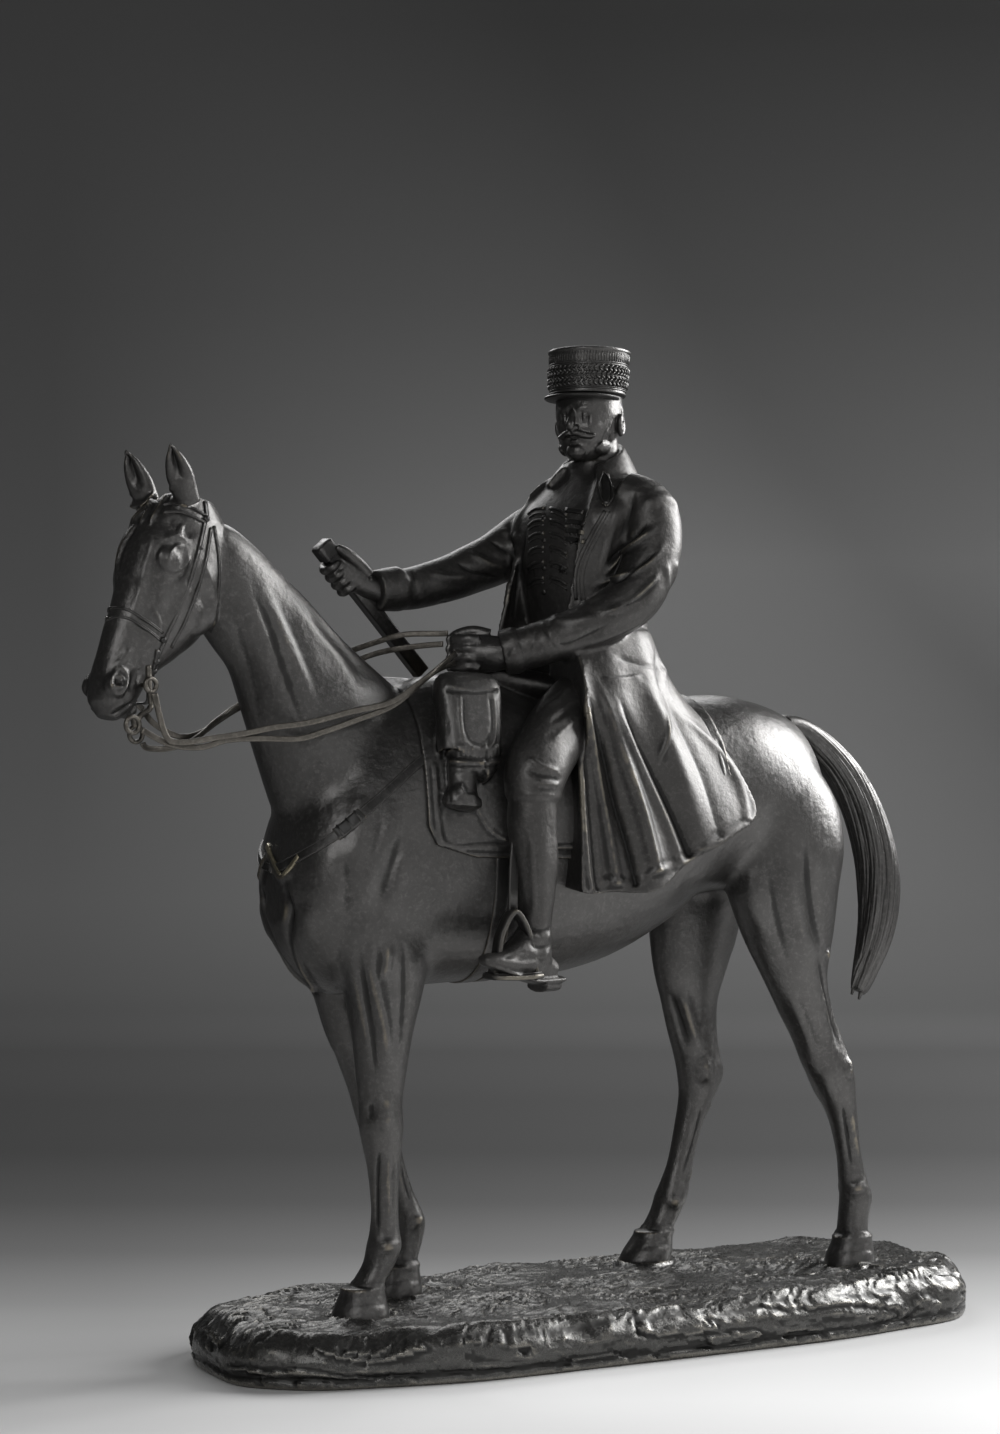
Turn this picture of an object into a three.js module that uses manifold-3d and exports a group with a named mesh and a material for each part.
// Bronze equestrian statuette on a low terrain base, in millimetres, +Z up.
// The horse faces -X, its left side is -Y, and the origin is the middle of the base's underside.

import * as THREE from 'three';
import { mergeVertices } from 'three/addons/utils/BufferGeometryUtils.js';
import Module from 'manifold-3d';

const wasm = await Module();
wasm.setup();

// Driving dimensions

const WITHERS_HEIGHT = 344;
const BASE_LENGTH = 470;
const BASE_WIDTH = 170;
const BASE_THICKNESS = 28;
const BASE_SQUARENESS = 3.5;
const BASE_EDGE_DROP = 9;
const BASE_EDGE_INSET = 6;
const TERRAIN_ROUGHNESS = 1.1;
const REAR_RISE = 2;
const HOOF_SINK = 2.4;
const CLEARANCE = 0.3;
const ROD_WIDTH = 9;
const REIN_WIDTH = 3.2;
const REIN_THICKNESS = 1.3;
const BIT_WIRE = 2.4;
const BIT_RING_RADIUS = 4.2;
const CLOTH_THICKNESS = 2.2;
const COAT_THICKNESS = 2.6;
const COAT_FOLD_DEPTH = 4.5;
const KEPI_RADIUS = 22.5;
const KEPI_HEIGHT = 26;
const VISOR_REACH = 9;
const VISOR_THICKNESS = 2;

// The figure's tables are in thousandths of the height at the withers, measured up from the ground.

const SHARE = WITHERS_HEIGHT / 1000;

function place(x, y, z) {
  return new THREE.Vector3(x * SHARE, y * SHARE, BASE_THICKNESS + z * SHARE);
}

// Solids

function toSolid(geometry) {
  const bare = new THREE.BufferGeometry();
  bare.setAttribute('position', geometry.getAttribute('position'));
  bare.setIndex(geometry.getIndex());
  const merged = mergeVertices(bare, 1e-4);
  const mesh = new wasm.Mesh({
    numProp: 3,
    vertProperties: new Float32Array(merged.getAttribute('position').array),
    triVerts: new Uint32Array(merged.getIndex().array),
  });
  return new wasm.Manifold(mesh);
}

function joinAll(solids) {
  return solids.reduce((sum, solid) => sum.add(solid));
}

function toMesh(name, solid, material) {
  const { vertProperties, triVerts } = solid.getMesh();
  const geometry = new THREE.BufferGeometry();
  geometry.setAttribute('position', new THREE.BufferAttribute(new Float32Array(vertProperties), 3));
  geometry.setIndex(new THREE.BufferAttribute(new Uint32Array(triVerts), 1));
  geometry.computeVertexNormals();
  const mesh = new THREE.Mesh(geometry, material);
  mesh.name = name;
  return mesh;
}

// A closed body through rings of equal count, whichever way round the rings run.
function skin(rings) {
  const count = rings[0].length;
  const points = rings.flat();
  const faces = [];
  for (let i = 0; i < rings.length - 1; i++) {
    for (let j = 0; j < count; j++) {
      const a = i * count + j;
      const b = i * count + (j + 1) % count;
      faces.push(a, b, b + count, a, b + count, a + count);
    }
  }
  const first = points.length;
  const last = first + 1;
  points.push(middle(rings[0]), middle(rings[rings.length - 1]));
  const top = (rings.length - 1) * count;
  for (let j = 0; j < count; j++) {
    faces.push(first, (j + 1) % count, j);
    faces.push(last, top + j, top + (j + 1) % count);
  }
  return closedGeometry(points, faces);
}

function middle(ring) {
  const sum = new THREE.Vector3();
  ring.forEach((point) => sum.add(point));
  return sum.divideScalar(ring.length);
}

function closedGeometry(points, faces) {
  let volume = 0;
  for (let i = 0; i < faces.length; i += 3) {
    const [a, b, c] = [points[faces[i]], points[faces[i + 1]], points[faces[i + 2]]];
    volume += a.dot(new THREE.Vector3().crossVectors(b, c));
  }
  if (volume < 0) faces.reverse();
  const geometry = new THREE.BufferGeometry().setFromPoints(points);
  geometry.setIndex(faces);
  return geometry;
}

// Values between the stations of a table, on a smooth curve through them.
function refine(stations, steps) {
  const rows = [];
  const width = Math.max(...stations.map((row) => row.length));
  const full = stations.map((row) => [...row, ...[2, 0, 0].slice(row.length - 5, width - 5)]);
  for (let i = 0; i < full.length - 1; i++) {
    const before = full[Math.max(i - 1, 0)];
    const after = full[Math.min(i + 2, full.length - 1)];
    for (let k = 0; k < steps; k++) {
      const t = k / steps;
      rows.push(full[i].map((value, m) => hermite(before[m], value, full[i + 1][m], after[m], t)));
    }
  }
  rows.push(full[full.length - 1]);
  return rows;
}

function hermite(before, start, end, after, t) {
  const [t2, t3] = [t * t, t * t * t];
  const rise = (end - before) / 2;
  const fall = (after - start) / 2;
  const slopes = rise * (t3 - 2 * t2 + t) + fall * (t3 - t2);
  return start * (2 * t3 - 3 * t2 + 1) + end * (3 * t2 - 2 * t3) + slopes;
}

function power(value, exponent) {
  return Math.sign(value) * Math.abs(value) ** (2 / exponent);
}

// A station is [x, y, z, deep, wide, squareness, lean, turn]: lean widens the section's lower side,
// and turn is an angle about the vertical in degrees.
// Directions of a section: upright rings lie level, sliced rings stand across the horse,
// and swept rings stand across their own spine.
const upright = (row) => {
  const turn = THREE.MathUtils.degToRad(row[7] ?? 0);
  const [c, s] = [Math.cos(turn), Math.sin(turn)];
  return [new THREE.Vector3(c, s, 0), new THREE.Vector3(-s, c, 0)];
};
const sliced = () => [new THREE.Vector3(0, 0, 1), new THREE.Vector3(0, 1, 0)];
const swept = (hint) => (row, tangent) => {
  const wide = hint.clone().addScaledVector(tangent, -hint.dot(tangent)).normalize();
  return [new THREE.Vector3().crossVectors(wide, tangent), wide];
};
const sweptLevel = swept(new THREE.Vector3(0, 1, 0));
const sweptUp = swept(new THREE.Vector3(0, 0, 1));

function loft(stations, { sides = 8, steps = 1, frame = sweptLevel, relief = () => 0 } = {}) {
  const rows = refine(stations, steps);
  const centres = rows.map((row) => place(row[0], row[1], row[2]));
  const rings = rows.map((row, i) => {
    const ahead = centres[Math.min(i + 1, rows.length - 1)];
    const tangent = ahead.clone().sub(centres[Math.max(i - 1, 0)]).normalize();
    const [deep, wide] = frame(row, tangent);
    const along = i / (rows.length - 1);
    return Array.from({ length: sides }, (unused, j) => {
      const angle = (2 * Math.PI * (j + 0.5)) / sides;
      const swell = 1 + relief(along, angle);
      const up = power(Math.sin(angle), row[5] ?? 2);
      const across = power(Math.cos(angle), row[5] ?? 2) * (1 - (row[6] ?? 0) * up);
      return centres[i].clone()
        .addScaledVector(deep, row[3] * SHARE * swell * up)
        .addScaledVector(wide, row[4] * SHARE * swell * across);
    });
  });
  return toSolid(skin(rings));
}

function ball(x, y, z, radii, turn = 0, pitch = 0, detail = 7) {
  const geometry = new THREE.SphereGeometry(1, detail, Math.ceil(detail * 0.6));
  geometry.scale(radii[0] * SHARE, radii[1] * SHARE, radii[2] * SHARE);
  geometry.rotateY(THREE.MathUtils.degToRad(pitch));
  geometry.rotateZ(THREE.MathUtils.degToRad(turn));
  const spot = place(x, y, z);
  geometry.translate(spot.x, spot.y, spot.z);
  return toSolid(geometry);
}

// A closed slab between an outer and an inner face, both given over u and v from 0 to 1.
function slab(outer, inner, across, down, downInside = down) {
  const rings = [];
  for (let i = 0; i <= across; i++) {
    const u = i / across;
    const front = Array.from({ length: down + 1 }, (unused, j) => outer(u, j / down));
    const back = Array.from({ length: downInside + 1 }, (unused, j) => inner(u, 1 - j / downInside));
    rings.push([...front, ...back]);
  }
  return toSolid(skin(rings));
}

function along(points, t) {
  const knots = points.map((point) => new THREE.Vector3(...point));
  return new THREE.CatmullRomCurve3(knots, false, 'catmullrom', 0.5).getPoint(t);
}

function mirrored(stations) {
  return stations.map(([x, y, ...rest]) => [x, -y, ...rest]);
}

// Horse

const BODY = [
  [-576, 0, 662, 58, 62], [-553, 0, 676, 126, 106, 2.1], [-500, 0, 688, 190, 134, 2.2],
  [-410, 0, 722, 230, 148, 2.2, 0.08], [-320, 0, 745, 246, 150, 2.2, 0.14],
  [-220, 0, 745, 242, 158, 2.2, 0.14], [-110, 2, 733, 226, 172, 2.1, 0.1],
  [0, 5, 742, 210, 180, 2.1, 0.04], [100, 8, 772, 192, 178, 2.1, 0], [180, 10, 801, 172, 170, 2.1, 0],
  [250, 12, 808, 166, 164, 2.1, 0], [330, 14, 799, 158, 146, 2.1, 0], [385, 16, 785, 143, 116, 2.1, 0],
  [422, 16, 775, 98, 78], [440, 16, 770, 40, 42],
];

const NECK = [
  [-395, 0, 795, 180, 114, 2, 0.35], [-452, 0, 863, 150, 96, 2, 0.32], [-522, 0, 961, 114, 76, 2, 0.3],
  [-576, 0, 1043, 89, 62, 2, 0.28], [-622, -2, 1092, 82, 55, 2, 0.2], [-663, -4, 1137, 76, 50],
  [-700, -6, 1182, 62, 44], [-722, -8, 1214, 38, 34],
];

const NEAR_FORELEG = [
  [-458, -78, 700, 60, 30], [-450, -88, 640, 92, 46], [-430, -88, 560, 80, 50],
  [-424, -82, 500, 65, 48], [-427, -79, 440, 53, 42], [-429, -78, 380, 44, 36],
  [-430, -78, 330, 37, 33], [-429, -78, 292, 37, 36], [-427, -78, 258, 32, 32],
  [-425, -78, 222, 26, 26], [-423, -78, 165, 23, 21], [-423, -78, 130, 25, 22],
  [-424, -78, 105, 29, 28], [-433, -78, 78, 27, 26], [-452, -78, 48, 27, 27], [-458, -78, 26, 26, 26],
];

const FAR_FORELEG = [
  [-455, 78, 700, 60, 30], [-445, 88, 640, 90, 46], [-428, 86, 560, 75, 50], [-416, 82, 490, 57, 47],
  [-404, 79, 430, 48, 42], [-390, 78, 380, 42, 37], [-376, 78, 330, 36, 33], [-363, 78, 288, 36, 36],
  [-354, 78, 252, 32, 32], [-342, 78, 215, 27, 26], [-324, 78, 170, 24, 21], [-312, 78, 140, 26, 22],
  [-305, 78, 113, 29, 28], [-308, 78, 84, 28, 26], [-318, 78, 50, 27, 27], [-322, 78, 26, 26, 26],
];

const NEAR_HINDLEG = [
  [316, -70, 880, 50, 34], [320, -84, 800, 96, 64], [322, -88, 720, 110, 74], [316, -86, 640, 106, 69],
  [328, -80, 570, 90, 56], [344, -76, 500, 64, 44], [366, -73, 445, 53, 38], [392, -71, 395, 48, 33],
  [410, -70, 355, 49, 34], [424, -70, 322, 44, 34], [437, -69, 285, 34, 30], [449, -69, 245, 26, 25],
  [460, -68, 190, 23, 21], [467, -68, 150, 26, 24], [474, -68, 118, 30, 29], [469, -68, 85, 28, 27],
  [466, -68, 52, 28, 28], [465, -68, 32, 26, 26],
];

const FAR_HINDLEG = [
  [312, 90, 880, 50, 34], [310, 104, 800, 96, 64], [298, 108, 720, 110, 74], [276, 110, 640, 103, 68],
  [262, 110, 570, 90, 56], [254, 110, 505, 74, 46], [252, 111, 450, 57, 38], [258, 112, 398, 49, 34],
  [268, 113, 355, 45, 34], [276, 114, 320, 45, 34], [270, 115, 285, 35, 30], [254, 115, 240, 26, 25],
  [236, 115, 175, 23, 21], [226, 115, 140, 27, 24], [218, 115, 116, 30, 29], [206, 115, 88, 29, 27],
  [188, 115, 58, 28, 28], [182, 115, 36, 26, 26],
];

const TAIL = [
  [380, 14, 922, 20, 26], [412, 14, 916, 22, 27], [446, 12, 894, 27, 29], [488, 10, 858, 30, 31],
  [524, 10, 814, 33, 33], [553, 9, 758, 36, 35], [573, 8, 690, 38, 37], [578, 8, 622, 38, 35],
  [570, 8, 558, 32, 30], [551, 8, 500, 24, 21], [538, 8, 468, 18, 13], [534, 8, 460, 12, 8],
];

// Each hoof is [x at the ground, x at the coronet, y, level of its sole].
const HOOVES = {
  nearFore: [-465, -460, -78, 0],
  farFore: [-330, -322, 78, 0],
  nearHind: [461, 467, -68, 8],
  farHind: [165, 184, 115, 12],
};

const HOOF_LENGTH = 94;
const HOOF_BREADTH = 84;
const HOOF_RISE = 46;

function hoof([ground, coronet, y, level], grow = 0) {
  const extra = grow / SHARE;
  const sink = (HOOF_SINK + grow) / SHARE;
  const row = (height, share) => {
    const climb = Math.max(height - level, 0) / HOOF_RISE;
    const x = ground + (coronet - ground) * climb;
    return [x, y, height, HOOF_LENGTH / 2 * share + extra, HOOF_BREADTH / 2 * share + extra];
  };
  const wall = [[0.55, 0.84], [1, 0.74]].map(([t, share]) => row(level + HOOF_RISE * t, share));
  const rows = [row(level - sink, 1.02), row(level, 1), ...wall];
  return loft(rows, { frame: upright });
}

const HEAD_POLL = [-742, -8, 1258];
const HEAD_TURN = 15;
const HEAD_SLOPE = 24;

// Rows are [distance below the poll, nasal line, jaw line, half width, squareness].
const HEAD_PROFILE = [
  [-10, 22, -60, 34, 2.2], [26, 44, -98, 50, 2.4], [62, 54, -118, 58, 2.5], [98, 58, -126, 62, 2.6],
  [132, 54, -124, 57, 2.5], [166, 49, -119, 51, 2.4], [202, 44, -99, 43, 2.3], [240, 40, -76, 37, 2.3],
  [276, 34, -59, 34, 2.3], [304, 30, -53, 36, 2.3], [328, 24, -48, 35, 2.3], [346, 12, -44, 30, 2.2],
  [360, -4, -30, 22, 2],
];

function headAxes() {
  const turn = THREE.MathUtils.degToRad(HEAD_TURN);
  const slope = THREE.MathUtils.degToRad(HEAD_SLOPE);
  const forward = new THREE.Vector3(-Math.cos(turn), -Math.sin(turn), 0);
  const left = new THREE.Vector3(Math.sin(turn), -Math.cos(turn), 0);
  const vertical = new THREE.Vector3(0, 0, 1);
  const down = forward.clone().multiplyScalar(Math.sin(slope)).addScaledVector(vertical, -Math.cos(slope));
  const front = forward.clone().multiplyScalar(Math.cos(slope)).addScaledVector(vertical, Math.sin(slope));
  return { left, down, front };
}

// A point of the horse's head from its distances below the poll, in front of the axis and to the left.
function onHead(below, ahead, aside) {
  const { left, down, front } = headAxes();
  return new THREE.Vector3(...HEAD_POLL).addScaledVector(down, below).addScaledVector(front, ahead)
    .addScaledVector(left, aside);
}

function headLoft(rows, sides) {
  const { left } = headAxes();
  const stations = rows.map(([below, nasal, jaw, half, square]) => {
    const centre = onHead(below, (nasal + jaw) / 2, 0);
    return [centre.x, centre.y, centre.z, (nasal - jaw) / 2, half, square, 0];
  });
  return loft(stations, { sides, frame: swept(left) });
}

function onHeadBall(below, ahead, aside, radii) {
  const spot = onHead(below, ahead, aside);
  return ball(spot.x, spot.y, spot.z, radii, HEAD_TURN, HEAD_SLOPE, 6);
}

function ear(side) {
  const base = onHead(side < 0 ? 8 : 0, 16, side < 0 ? -52 : 40);
  const tip = onHead(-48, 80, side < 0 ? -60 : 54);
  const reach = tip.clone().sub(base);
  const row = (t, deep, wide) => {
    const spot = base.clone().addScaledVector(reach, t);
    return [spot.x, spot.y, spot.z, deep, wide];
  };
  const { front } = headAxes();
  const outside = [
    row(-0.2, 20, 18), row(0.15, 19, 19), row(0.45, 17, 20), row(0.75, 11, 13), row(1, 3, 3),
  ];
  const inside = outside.slice(1).map(([x, y, z, deep, wide]) => {
    return [x + front.x * 12, y + front.y * 12, z + front.z * 12, deep * 0.8, wide * 0.62];
  });
  const { left } = headAxes();
  const shell = loft(outside, { sides: 6, frame: swept(left) });
  return shell.subtract(loft(inside, { sides: 5, frame: swept(left) }));
}

function horseHead() {
  const skull = headLoft(HEAD_PROFILE, 10);
  const parts = [skull];
  for (const side of [-1, 1]) {
    parts.push(onHeadBall(142, -62, side * 32, [58, 22, 58]));
    parts.push(onHeadBall(112, 2, side * 54, [24, 17, 24]));
    parts.push(ear(side));
  }
  parts.push(onHeadBall(332, -42, 0, [18, 20, 16]));
  return joinAll(parts);
}

function horse() {
  const legs = [NEAR_FORELEG, FAR_FORELEG, NEAR_HINDLEG, FAR_HINDLEG];
  const locks = (t, angle) => 0.14 * Math.abs(Math.sin(angle * 2.5)) - 0.07;
  return joinAll([
    loft(BODY, { sides: 16, frame: sliced }),
    loft(NECK, { sides: 12 }),
    horseHead(),
    ...legs.map((leg) => loft(leg, { sides: 7, frame: upright })),
    ...Object.values(HOOVES).map((values) => hoof(values)),
    loft(TAIL, { sides: 10, relief: locks }),
    ball(-470, -96, 700, [58, 44, 124]),
    ball(-470, 96, 700, [58, 44, 124]),
  ]);
}

// Saddlery

const SADDLE = [
  [-240, 0, 985, 24, 46], [-215, 0, 998, 34, 62], [-170, 0, 985, 32, 80], [-70, 0, 970, 32, 96],
  [40, 4, 978, 34, 96], [80, 6, 988, 28, 80], [104, 6, 990, 12, 56],
];

// The saddle cloth's outline seen from the side, as [x, z].
const CLOTH_OUTLINE = [
  [-372, 985], [-380, 860], [-383, 760], [-368, 728], [-300, 708], [-115, 704], [60, 712], [140, 740],
  [165, 800], [160, 900], [150, 1080], [-372, 1080],
];
function grown(stations, thickness) {
  const extra = thickness / SHARE;
  return stations.map(([x, y, z, deep, wide, ...rest]) => [x, y, z, deep + extra, wide + extra, ...rest]);
}

// The part of a solid inside an outline that is seen from the side.
function within(solid, outline) {
  const corners = outline.map(([x, z]) => new THREE.Vector2(x * SHARE, BASE_THICKNESS + z * SHARE));
  const shape = new THREE.Shape(corners);
  const reach = WITHERS_HEIGHT;
  const geometry = new THREE.ExtrudeGeometry(shape, { depth: reach, bevelEnabled: false });
  geometry.rotateX(Math.PI / 2);
  geometry.translate(0, reach / 2, 0);
  return solid.intersect(toSolid(geometry));
}

// A holster hangs at each side of the pommel: a flapped pouch, a pinched neck, a barrel and a cap.
const HOLSTER = [
  [-302, 114, 988, 22, 50, 3], [-303, 123, 970, 27, 57, 3.2], [-305, 134, 925, 28, 54, 3.2],
  [-311, 147, 866, 26, 50, 3.2], [-318, 151, 854, 22, 36, 2.6], [-326, 155, 842, 20, 25],
  [-330, 163, 808, 20, 24], [-331, 164, 803, 24, 31], [-332, 166, 788, 22, 30], [-333, 167, 780, 8, 10],
];

function saddlery() {
  const cloth = loft(grown(BODY, CLOTH_THICKNESS), { sides: 16, frame: sliced });
  const holsters = [HOLSTER, mirrored(HOLSTER)].map((stations) => {
    return loft(stations, { sides: 6, frame: swept(new THREE.Vector3(1, 0, 0)) });
  });
  return [
    loft(SADDLE, { sides: 10, frame: sliced }),
    within(cloth, CLOTH_OUTLINE),
    ...holsters,
  ];
}

// Rider

const TUNIC = [
  [0, 5, 975, 84, 112, 2.2, 0, 5], [-10, 5, 1035, 84, 106, 2.2, 0, 8],
  [-20, 3, 1090, 80, 94, 2.2, 0, 12], [-24, 0, 1150, 84, 100, 2.2, 0, 17],
  [-24, 0, 1210, 90, 108, 2.3, 0, 21], [-16, 0, 1262, 86, 120, 2.4, 0, 22],
  [-6, 0, 1300, 68, 104, 2.2, 0, 22], [-2, 0, 1332, 46, 60, 2, 0, 24], [-6, -2, 1356, 38, 40, 2, 0, 28],
];
const LEFT_SLEEVE = [
  [8, -78, 1290, 46, 46], [36, -112, 1266, 50, 44], [36, -130, 1212, 48, 45], [14, -141, 1160, 46, 44],
  [-14, -148, 1122, 46, 42], [-58, -141, 1090, 42, 44], [-108, -124, 1065, 39, 42],
  [-150, -108, 1050, 37, 40], [-180, -92, 1040, 36, 39], [-210, -76, 1032, 35, 38],
];
const LEFT_HAND = [
  [-195, -84, 1034, 24, 28], [-225, -66, 1031, 30, 33], [-252, -46, 1030, 32, 33], [-280, -30, 1029, 24, 28],
];
const RIGHT_SLEEVE = [
  [-26, 76, 1268, 46, 46], [-60, 110, 1242, 48, 44], [-98, 114, 1216, 47, 43],
  [-130, 112, 1197, 45, 42], [-175, 106, 1179, 42, 40], [-220, 99, 1162, 39, 38],
  [-290, 91, 1143, 36, 35], [-335, 86, 1138, 34, 33], [-362, 83, 1136, 32, 32],
];
const RIGHT_HAND = [
  [-352, 84, 1134, 20, 20], [-380, 84, 1143, 22, 20], [-402, 86, 1156, 27, 24],
  [-424, 88, 1170, 27, 24], [-440, 88, 1182, 16, 16],
];
const ROD_TOP = [-462, 80, 1208];
const ROD_FOOT = [-270, 104, 1006];

const LEFT_LEG = [
  [20, -55, 985, 60, 50], [-44, -86, 970, 60, 50], [-112, -118, 932, 58, 49], [-172, -156, 886, 56, 47],
  [-210, -182, 846, 54, 45], [-222, -190, 800, 46, 41],
];
const LEFT_BOOT = [
  [-218, -190, 830, 40, 38], [-224, -192, 765, 41, 38], [-219, -195, 700, 37, 35],
  [-218, -194, 640, 30, 29], [-219, -192, 600, 27, 26], [-220, -191, 545, 30, 26],
];
const LEFT_FOOT = [
  [-182, -178, 530, 18, 18], [-222, -190, 543, 27, 26], [-256, -201, 545, 20, 26],
  [-290, -212, 549, 16, 26], [-316, -220, 553, 11, 19], [-328, -224, 556, 5, 10],
];

const HEM = [
  [-148, -204, 660], [-100, -212, 646], [-40, -214, 652], [20, -212, 672], [70, -208, 700],
  [130, -200, 735], [205, -178, 772], [180, -152, 852], [140, -104, 934], [106, -50, 976], [96, 12, 986],
];
const WAIST = [
  [-112, -86, 1085], [-92, -98, 1083], [-54, -108, 1080], [-10, -108, 1078], [30, -98, 1076],
  [60, -72, 1074], [76, -24, 1072], [78, 12, 1072],
];
const COAT_FOLDS = 4;
const LAPEL_LIFT = 4;
const COAT_TOP = 0.8;

// One half of the coat's skirt, from the waist down over the saddle and the horse's flank.
function skirt(side) {
  const hold = (point, y) => place(point.x, point.y * y, point.z);
  const outer = (u, v) => {
    const top = along(WAIST, u);
    const foot = along(HEM, u);
    const point = top.clone().lerp(foot, v);
    const spread = v ** (u < 0.6 ? 0.5 : 0.5 + (u - 0.6) * 1.2);
    const fold = COAT_FOLD_DEPTH / SHARE * v * Math.cos(2 * Math.PI * COAT_FOLDS * u) * (1 - u * u);
    const overThigh = 34 * Math.exp(-(((v - 0.3) / 0.22) ** 2)) * Math.max(0, 1 - 1.8 * u);
    if (foot.x > top.x) point.x = top.x + (foot.x - top.x) * v ** 1.6;
    point.y = top.y + (foot.y - top.y) * spread - fold - overThigh;
    return hold(point, -side);
  };
  const inner = (u, v) => {
    const point = along(WAIST, u).lerp(along(HEM, u), v * 0.985);
    point.x -= 45 * u * u;
    point.y = Math.min(point.y * 0.55, 0) + 4;
    return hold(point, -side);
  };
  return slab(outer, inner, side < 0 ? 16 : 8, 3, 1);
}

const LAPELS = {
  left: {
    edge: [[-24, -54, 1336], [-54, -84, 1290], [-86, -98, 1216], [-104, -92, 1100]],
    back: [[20, -70, 1330], [34, -104, 1290], [30, -118, 1216], [10, -116, 1100]],
  },
  right: {
    edge: [[-52, 40, 1336], [-92, 60, 1294], [-126, 52, 1176], [-164, 34, 1058]],
    back: [[-10, 60, 1330], [-36, 90, 1290], [-50, 90, 1176], [-40, 90, 1058]],
  },
};

// A front panel of the coat, from its free edge back to where it is lost in the coat's side.
function lapel({ edge, back }) {
  const face = (lift) => (u, v) => {
    const point = along(edge, v).lerp(along(back, v), u);
    const outward = new THREE.Vector3(point.x + 22, point.y, 0).normalize();
    return place(point.x + outward.x * lift, point.y + outward.y * lift, point.z);
  };
  return slab(face(LAPEL_LIFT), face(-LAPEL_LIFT), 1, 3);
}

// The coat and the tunic inside it as one body: the coat stands out all round but for its open front.
function torso() {
  const open = [240, 310].map(THREE.MathUtils.degToRad);
  const relief = (share, angle) => {
    const tunic = (angle > open[0] && angle < open[1]) || share > COAT_TOP;
    return tunic ? 0 : COAT_THICKNESS / SHARE / TUNIC[4][4];
  };
  return loft(TUNIC, { sides: 16, frame: upright, relief });
}

function coat() {
  return [torso(), skirt(-1), skirt(1), lapel(LAPELS.left), lapel(LAPELS.right), collar()];
}

// The turned down collar round the back of the neck, from one lapel to the other.
function collar() {
  const ring = (radius, height, drop) => (u) => {
    const angle = THREE.MathUtils.degToRad(24 + 140 * (2 * u - 1));
    const fall = drop * (1 - Math.cos(THREE.MathUtils.degToRad(140 * (2 * u - 1))));
    return place(-4 + radius * Math.cos(angle), -2 + radius * Math.sin(angle), height - fall);
  };
  const rim = ring(50, 1392, 26);
  const hem = ring(78, 1330, 8);
  const inside = ring(40, 1386, 26);
  const under = ring(62, 1318, 8);
  return slab((u, v) => rim(u).lerp(hem(u), v), (u, v) => inside(u).lerp(under(u), v), 8, 1);
}

// Four fingers side by side round the rod, from the knuckles.
function fingers(start, step, curl, count = 4) {
  return Array.from({ length: count }, (unused, i) => {
    const at = (t) => [0, 1, 2].map((k) => start[k] + step[k] * i + curl[k] * t);
    const row = (t, radius) => [...at(t), radius, radius];
    return loft([row(-0.5, 6), row(0, 9), row(0.6, 6)], { sides: 5 });
  });
}

function rod() {
  const at = (t) => ROD_TOP.map((value, k) => value + (ROD_FOOT[k] - value) * t);
  const half = ROD_WIDTH / 2 / SHARE;
  const knob = [half * 1.3, half * 1.1, 3];
  const stem = [half, half, 3];
  const rows = [[...at(0), ...knob], [...at(0.09), ...knob], [...at(0.1), ...stem], [...at(1), ...stem]];
  return loft(rows, { sides: 6 });
}

// The iron seen from the side of the foot: an arch that rises from a flat tread.
const STIRRUP_ARCH = [
  [-300, 530, 8, 26], [-292, 588, 6, 18], [-264, 626, 7, 10], [-236, 588, 6, 18], [-228, 530, 8, 26],
];

function stirrup(side) {
  const arch = loft(STIRRUP_ARCH.map(([x, z, deep, wide]) => [x, side * 206, z, deep, wide]), { sides: 4 });
  const tread = loft([[-306, side * 207, 527, 8, 28], [-222, side * 207, 527, 8, 28]], { sides: 4 });
  return arch.add(tread);
}

const HEAD_CENTRE = [-14, -6, 1412];
const KEPI_SEAT = 50;
const RIDER_LOOK = 33;
const FACE = [
  [8, -2, 1340, 36, 36], [-4, -4, 1356, 44, 40], [-18, -8, 1364, 54, 45], [-19, -8, 1388, 60, 50],
  [-16, -6, 1415, 63, 53], [-14, -5, 1440, 64, 55], [-12, -4, 1466, 63, 55],
];

// A point of the rider's head from its distances ahead of and to the left of the middle of the head.
function onFace(ahead, aside, height) {
  const turn = THREE.MathUtils.degToRad(RIDER_LOOK);
  return [
    HEAD_CENTRE[0] - Math.cos(turn) * ahead + Math.sin(turn) * aside,
    HEAD_CENTRE[1] - Math.sin(turn) * ahead - Math.cos(turn) * aside,
    HEAD_CENTRE[2] + height,
  ];
}

function faceBall(ahead, aside, height, radii, turn = 0) {
  return ball(...onFace(ahead, aside, height), radii, RIDER_LOOK + turn, 0, 6);
}

function riderHead() {
  const turned = FACE.map((row) => [...row, 2.1, 0, RIDER_LOOK]);
  const parts = [
    loft(turned, { sides: 10, frame: upright }),
    faceBall(63, 0, 2, [14, 9, 18]),
    faceBall(53, 0, 22, [13, 34, 7]),
    faceBall(59, 0, -18, [12, 30, 7]),
  ];
  for (const side of [-1, 1]) parts.push(faceBall(-6, side * 54, 0, [13, 9, 20]));
  return [...parts, ...kepi()];
}

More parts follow.
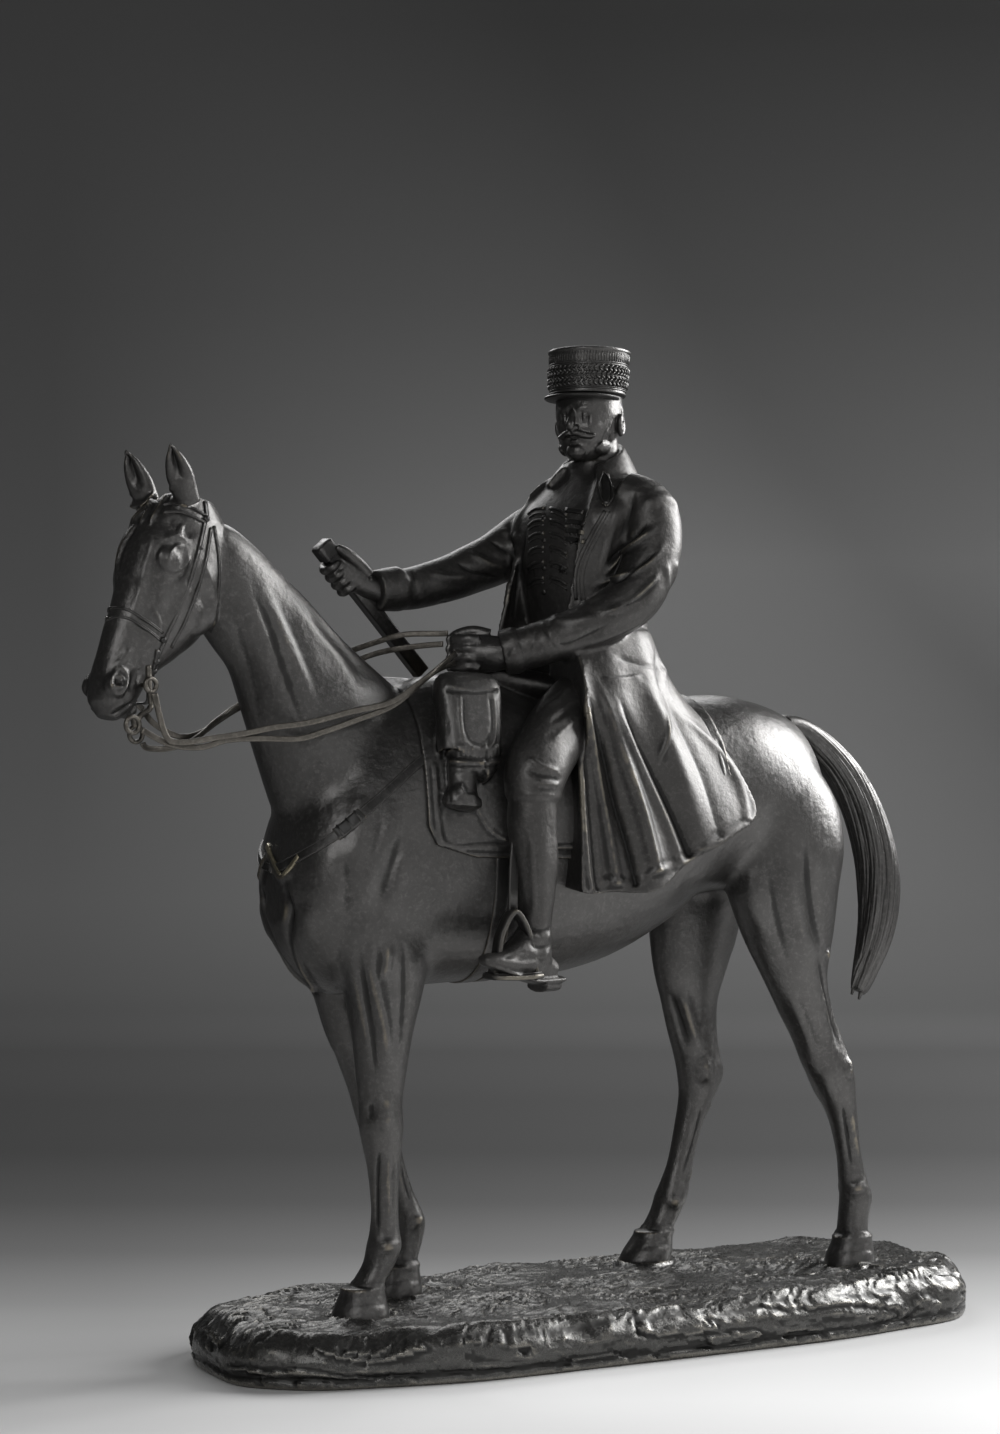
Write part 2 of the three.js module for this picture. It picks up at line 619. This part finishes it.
function kepi() {
  const radius = KEPI_RADIUS / SHARE;
  const height = KEPI_HEIGHT / SHARE;
  const [x, y] = [HEAD_CENTRE[0] - 2, HEAD_CENTRE[1] + 2];
  const foot = HEAD_CENTRE[2] + KEPI_SEAT;
  const level = (t, share) => {
    const size = radius * share;
    return [x + 4 * t, y, foot + height * t, size * 1.04, size * 0.98, 2, 0, RIDER_LOOK];
  };
  const crown = loft([level(0, 0.96), level(0.08, 1), level(0.95, 1.06), level(1, 1.03)],
    { sides: 16, frame: upright });
  const reach = VISOR_REACH / SHARE;
  const thick = VISOR_THICKNESS / SHARE;
  const brim = (drop) => {
    const [bx, by, bz] = onFace(reach, 0, 47 - drop);
    return [bx, by, bz, radius * 0.98, radius * 0.94, 2, 0, RIDER_LOOK];
  };
  const visor = loft([brim(thick), brim(0)], { sides: 14, frame: upright });
  return [crown, visor];
}

function rider() {
  const sole = (side) => [LEFT_LEG, LEFT_BOOT].map((rows) => {
    const placed = side < 0 ? rows : mirrored(rows);
    return loft(placed, { sides: side < 0 ? 8 : 6, frame: rows === LEFT_BOOT ? upright : sweptLevel });
  });
  const feet = [LEFT_FOOT, mirrored(LEFT_FOOT)].map((rows) => loft(rows, { sides: 6 }));
  return [
    ...coat(),
    ...[LEFT_SLEEVE, RIGHT_SLEEVE].map((rows) => loft(rows)),
    ...[LEFT_HAND, RIGHT_HAND].map((rows) => loft(rows)),
    ...fingers([-418, 84, 1130], [-11, -1, 12], [8, 28, -2]),
    rod(),
    ...sole(-1),
    ...sole(1),
    ...feet,
    stirrup(-1),
    stirrup(1),
    ...riderHead(),
  ];
}

// Bit and reins

// Each side of the bit hangs on a shank that ends in a ring. The off side's shank swings further back.
// Rows are [distance below the poll, ahead of the head's axis, to the left of it].
const LEFT_SHANK = [[270, -26, 45], [296, -38, 46], [325, -54, 46], [340, -46, 45], [352, -41, 45]];
const RIGHT_SHANK = [[270, -26, -45], [296, -38, -46], [314, -66, -46], [326, -90, -45], [336, -98, -45]];
const LEFT_RING = ringOn(LEFT_SHANK);
const RIGHT_RING = ringOn(RIGHT_SHANK);

const LEFT_HOOK = [296, -38, 54];
const RIGHT_HOOK = [296, -38, -54];

// The middle of the ring that a shank runs into.
function ringOn(shank) {
  const [before, end] = shank.slice(-2).map((row) => new THREE.Vector3(...row));
  const way = end.clone().sub(before).normalize();
  return end.addScaledVector(way, BIT_RING_RADIUS / SHARE).toArray();
}

// A rein starts just clear of what it hangs on, on the way to its first listed point.
function hungOn([below, ahead, aside], reach, points) {
  const spot = onHead(below, ahead, aside);
  const way = new THREE.Vector3(...points[0]).sub(spot).normalize();
  return [spot.addScaledVector(way, (reach + CLEARANCE) / SHARE).toArray(), ...points];
}

// Reins from the bit to the fist, on the near side and then on the off side.
const RING_REACH = BIT_RING_RADIUS + BIT_WIRE / 2;
const HOOK_REACH = REIN_WIDTH + BIT_WIRE / 2;
const LEFT_CURB_REIN = hungOn(LEFT_RING, RING_REACH, [
  [-785, -84, 883], [-734, -84, 879], [-690, -84, 889], [-637, -88, 893], [-576, -96, 892],
  [-528, -101, 907], [-438, -107, 938], [-393, -107, 966], [-340, -92, 1001], [-292, -62, 1015],
]);
const LEFT_SNAFFLE_REIN = hungOn(LEFT_HOOK, HOOK_REACH, [
  [-793, -90, 898], [-768, -92, 886], [-703, -92, 894], [-625, -98, 908], [-576, -104, 915],
  [-504, -112, 932], [-431, -115, 950], [-386, -114, 976], [-336, -98, 1008], [-290, -60, 1030],
]);
const RIGHT_CURB_REIN = hungOn(RIGHT_RING, RING_REACH, [
  [-780, 20, 878], [-758, 10, 876], [-738, 8, 880], [-711, 22, 887], [-680, 42, 901],
  [-644, 66, 924], [-600, 92, 946], [-540, 106, 966], [-470, 112, 986], [-420, 96, 1010],
  [-380, 60, 1030], [-339, 22, 1042], [-292, -20, 1046],
]);
const RIGHT_SNAFFLE_REIN = hungOn(RIGHT_HOOK, HOOK_REACH, [
  [-786, 36, 942], [-768, 26, 918], [-733, 26, 898], [-705, 36, 896], [-672, 54, 906],
  [-642, 76, 920], [-600, 100, 940], [-540, 114, 972], [-470, 116, 1000], [-420, 92, 1030],
  [-380, 54, 1050], [-339, 16, 1062], [-286, -26, 1064],
]);

// A flat strip with square edges along a rein's points; grow leaves room around it.
function strip(points, grow = 0) {
  const deep = (REIN_WIDTH / 2 + grow) * Math.SQRT2 / SHARE;
  const wide = (REIN_THICKNESS / 2 + grow) * Math.SQRT2 / SHARE;
  return loft(points.map(([x, y, z]) => [x, y, z, deep, wide]), { sides: 4 });
}

function ring([below, ahead, aside], grow) {
  const geometry = new THREE.TorusGeometry(BIT_RING_RADIUS, BIT_WIRE / 2 + grow, 4, 8);
  geometry.rotateX(Math.PI / 2);
  geometry.rotateZ(THREE.MathUtils.degToRad(HEAD_TURN));
  const spot = onHead(below, ahead, aside);
  const centre = place(spot.x, spot.y, spot.z);
  geometry.translate(centre.x, centre.y, centre.z);
  return toSolid(geometry);
}

function bit(grow = 0) {
  const radius = (BIT_WIRE / 2 + grow) / SHARE;
  const wire = (rows, frame) => {
    return loft(rows.map((row) => [...onHead(...row).toArray(), radius, radius]), { sides: 5, frame });
  };
  return joinAll([
    wire([LEFT_SHANK[1], RIGHT_SHANK[1]], sweptUp),
    wire(LEFT_SHANK),
    wire(RIGHT_SHANK),
    ring(LEFT_RING, grow),
    ring(RIGHT_RING, grow),
  ]);
}

// Base

function baseEdge(angle, inset) {
  const x = power(Math.cos(angle), BASE_SQUARENESS) * (BASE_LENGTH / 2 - inset);
  const y = power(Math.sin(angle), BASE_SQUARENESS) * (BASE_WIDTH / 2 - inset);
  return [x, y];
}

// The ground rises a little towards the hindlegs.
function terrain(x, y) {
  const swells = Math.sin(x / 17 + y / 23) + Math.sin(y / 9 - x / 31);
  const waves = swells + Math.sin(x / 7.5) * Math.cos(y / 6.5);
  const rise = REAR_RISE * THREE.MathUtils.smoothstep(x, 0, BASE_LENGTH * 0.35);
  return BASE_THICKNESS + rise + TERRAIN_ROUGHNESS * waves;
}

function baseSolid() {
  const around = 36;
  const rings = [];
  const level = (inset, height) => {
    rings.push(Array.from({ length: around }, (unused, j) => {
      const angle = (2 * Math.PI * j) / around;
      const wander = 1.2 * Math.sin(angle * 5 + 1) + 0.8 * Math.sin(angle * 11);
      const [x, y] = baseEdge(angle, inset + wander);
      return new THREE.Vector3(x, y, height(x, y, angle));
    }));
  };
  level(2, () => 0);
  level(0.6, (x, y, angle) => BASE_THICKNESS * 0.3 + 2 * Math.sin(angle * 7));
  const shoulder = BASE_THICKNESS - BASE_EDGE_DROP;
  level(BASE_EDGE_INSET * 0.4, (x, y, angle) => shoulder + 1.5 * Math.sin(angle * 9));
  level(BASE_EDGE_INSET, (x, y) => terrain(x, y) - 2.5);
  for (const share of [0.3, 0.7]) {
    level(BASE_EDGE_INSET + share * BASE_WIDTH / 2, terrain);
  }
  const slabSolid = toSolid(skin(rings));
  return Object.values(HOOVES).reduce((rest, values) => rest.subtract(hoof(values, CLEARANCE)), slabSolid);
}

// Assembly

const bronze = new THREE.MeshStandardMaterial({
  name: 'dark_bronze', color: 0x2a2522, roughness: 0.42, metalness: 0.9,
});

const reins = {
  left_curb_rein: LEFT_CURB_REIN,
  left_snaffle_rein: LEFT_SNAFFLE_REIN,
  right_curb_rein: RIGHT_CURB_REIN,
  right_snaffle_rein: RIGHT_SNAFFLE_REIN,
};

// The figure is cut clear of the bit, and the figure and the bit are cut clear of the reins.
const slots = Object.values(reins).map((points) => strip(points, CLEARANCE));
const figure = joinAll([horse(), ...saddlery(), ...rider()]).subtract(bit(CLEARANCE));

const statuette = new THREE.Group();
statuette.add(toMesh('base', baseSolid(), bronze));
statuette.add(toMesh('horse_and_rider', slots.reduce((rest, slot) => rest.subtract(slot), figure), bronze));
statuette.add(toMesh('curb_bit', bit(), bronze));
for (const [name, points] of Object.entries(reins)) {
  statuette.add(toMesh(name, strip(points).subtract(bit(CLEARANCE)), bronze));
}

export default statuette;
